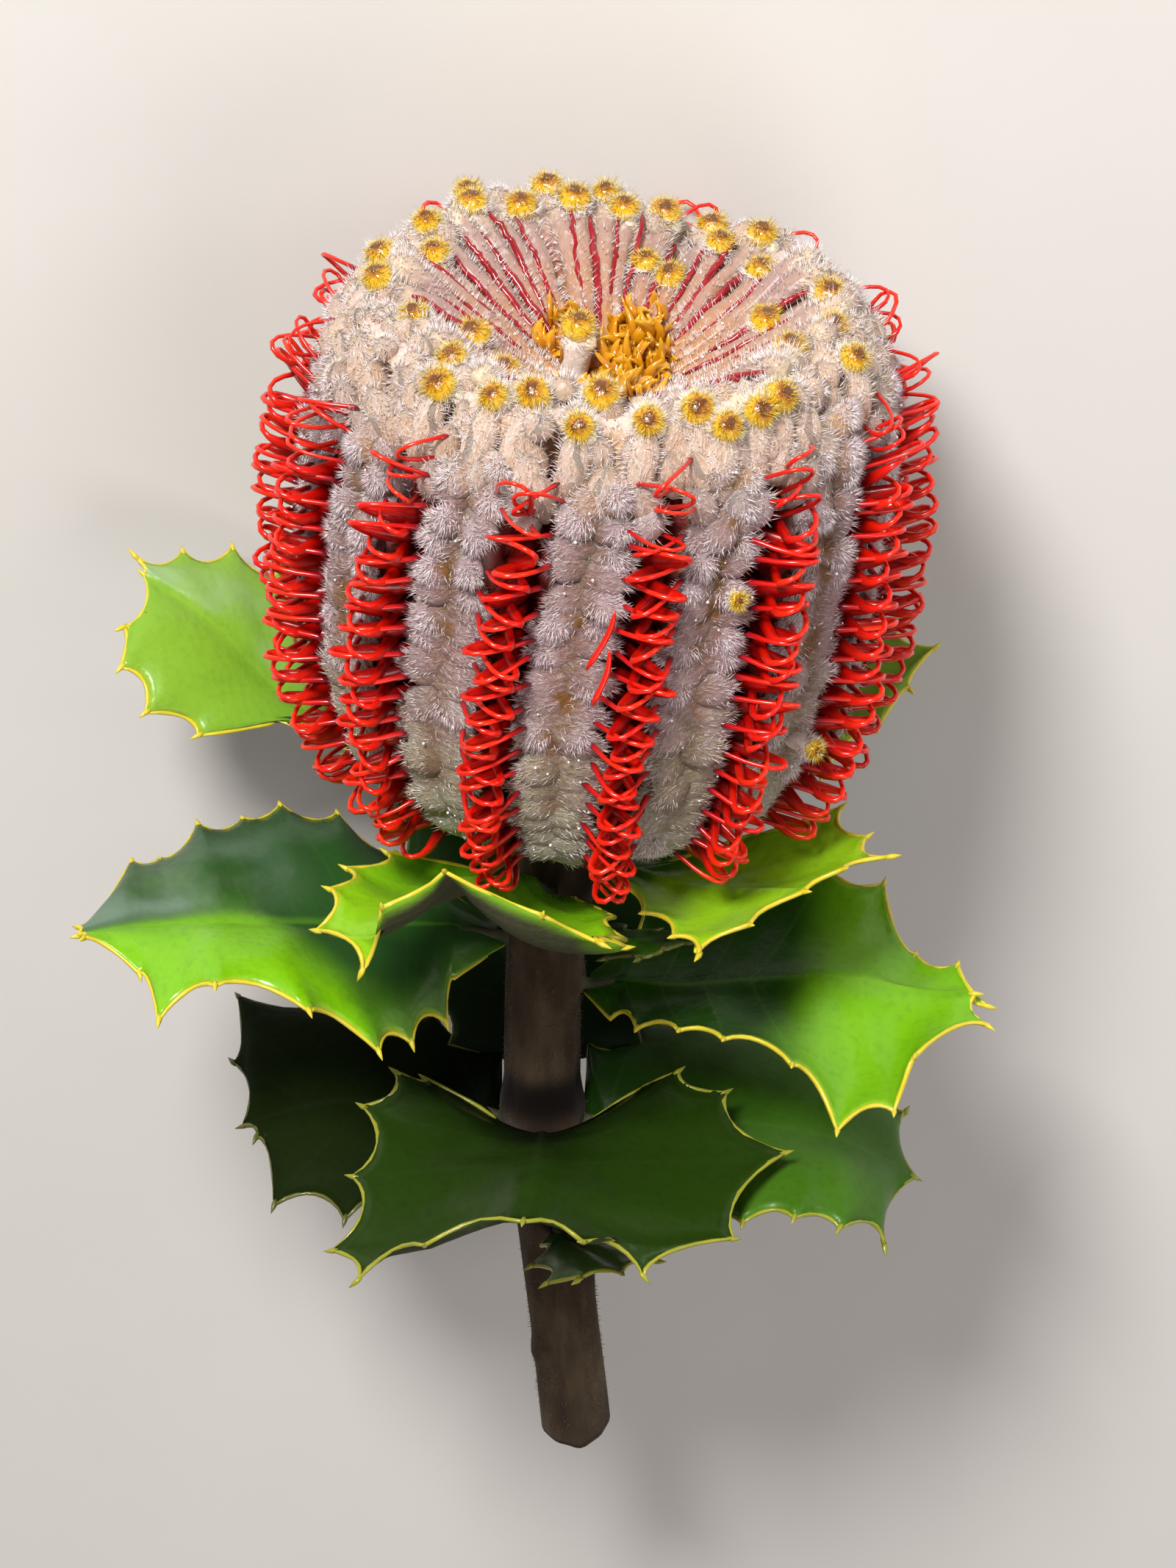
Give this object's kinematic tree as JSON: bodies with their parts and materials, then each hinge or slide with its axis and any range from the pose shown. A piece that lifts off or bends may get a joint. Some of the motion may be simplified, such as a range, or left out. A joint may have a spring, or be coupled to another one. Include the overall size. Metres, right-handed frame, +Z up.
{
  "type": "banksia flower head on a cut leafy stem",
  "caption": "Squat woolly banksia flower head with columns of red hooked styles and golden buds round its crown, on a short cut stem with toothed leathery leaves, lying down.",
  "frame": {"origin": "centre of the bounding box in X and Y, on the surface that the flower lies on", "axes": "+Y along the stem towards the flower's crown, +Z up from the surface, +X to the right seen from above with the crown at the top"},
  "size_m": [0.1226, 0.19, 0.0868],
  "materials": {
    "wool": "matte",
    "red_style": "satin",
    "bark": "matte",
    "leaf_bright": "satin",
    "leaf_mid": "satin",
    "leaf_dark": "satin"
  },
  "bodies": {
    "root": {"wool_head": "wool", "stem": "bark", "red_loops_01": "red_style", "red_loops_02": "red_style", "red_loops_03": "red_style", "red_loops_04": "red_style", "red_loops_05": "red_style", "red_loops_06": "red_style", "red_loops_07": "red_style", "red_loops_08": "red_style", "red_loops_09": "red_style", "red_loops_10": "red_style", "red_loops_11": "red_style", "red_loops_12": "red_style", "red_loops_13": "red_style", "red_loops_14": "red_style", "leaf_back_left": "leaf_mid", "leaf_back_right": "leaf_dark", "leaf_left": "leaf_mid", "leaf_front_left": "leaf_bright", "leaf_front_right": "leaf_bright", "leaf_small": "leaf_dark", "leaf_right": "leaf_mid", "leaf_lower_right": "leaf_mid", "leaf_lower_front": "leaf_mid", "leaf_lower_left": "leaf_dark", "leaf_behind": "leaf_dark", "leaf_lowest": "leaf_mid"}
  },
  "joints": []
}
